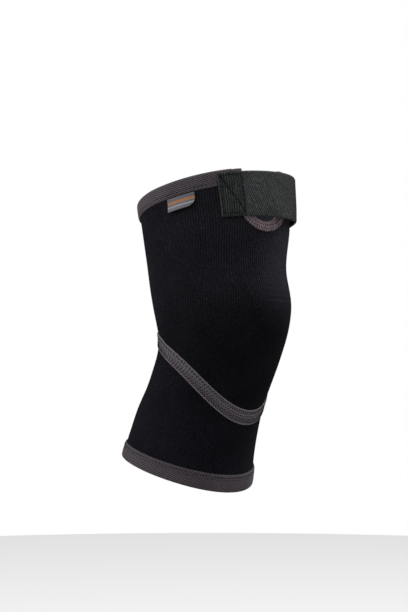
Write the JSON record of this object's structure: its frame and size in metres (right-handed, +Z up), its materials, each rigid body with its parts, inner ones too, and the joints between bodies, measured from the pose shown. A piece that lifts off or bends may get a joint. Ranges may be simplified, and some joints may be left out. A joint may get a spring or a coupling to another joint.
{
  "type": "knee brace",
  "caption": "Pull-on knitted knee brace for a slightly bent left leg, with grey hem bindings, an oblique seam tape, and a strap over a notch in the thigh edge.",
  "frame": {"origin": "centre of the knee's hinge axis, on the sleeve's centre line", "axes": "+Z up along the leg, -Y is the front of the knee, +X is the outer side of a left leg"},
  "size_m": [0.1504, 0.1925, 0.3023],
  "materials": {
    "knit": "fine vertical rib knit, matt black",
    "knit_fine": "smooth fine knit, matt black",
    "grey_elastic": "ribbed elastic tape, warm grey",
    "gathered_elastic": "gathered elastic tape, grey with a slight mauve",
    "strap_webbing": "ribbed elastic webbing, black-grey",
    "tab_webbing": "folded webbing, darker",
    "hook": "moulded nylon hooks",
    "loop": "napped loop pile",
    "label_cloth": "woven satin label, grey",
    "thread": "polyester sewing thread, grey",
    "thread_dark": "polyester sewing thread, dark",
    "thread_black": "polyester sewing thread, black"
  },
  "bodies": {
    "thigh": {"thigh_panel": "knit", "knee_panel": "knit", "top_hem_binding": "grey_elastic", "notch_binding": "gathered_elastic", "thigh_back_seam": "knit", "knee_back_seam": "knit", "strap_anchor_tab": "tab_webbing", "strap_loop_patch": "loop", "top_hem_stitches": "thread", "notch_stitches": "thread_dark", "anchor_stitches": "thread", "loop_patch_stitches": "thread_black"},
    "calf": {"calf_panel": "knit_fine", "bottom_hem_binding": "grey_elastic", "knee_seam_tape": "grey_elastic", "knee_seam_stitches": "thread_dark", "calf_back_seam": "knit_fine", "bottom_hem_stitches": "thread"},
    "strap": {"strap_webbing": "strap_webbing", "strap_hook_patch": "hook"},
    "label": {"label": "label_cloth"}
  },
  "joints": [
    {"name": "knee_bend", "type": "hinge", "parent": "thigh", "child": "calf", "pos_m": [0, 0, 0], "axis": [1, 0, 0], "range_deg": [-20, 72], "stiffness_Nm_per_rad": 0.4, "springref_deg": 2.86, "deforming": ["knee_panel", "knee_back_seam", "knee_seam_tape", "knee_seam_stitches"]},
    {"name": "strap_open", "type": "hinge", "parent": "thigh", "child": "strap", "pos_m": [-0.02931, -0.06863, 0.11359], "axis": [0.025, -0.1297, -0.9912], "range_deg": [0, 100]},
    {"name": "label_flip", "type": "hinge", "parent": "thigh", "child": "label", "pos_m": [-0.06693, -0.02135, 0.11014], "axis": [-0.3335, 0.9325, -0.1384], "range_deg": [0, 110], "stiffness_Nm_per_rad": 0.0008}
  ]
}
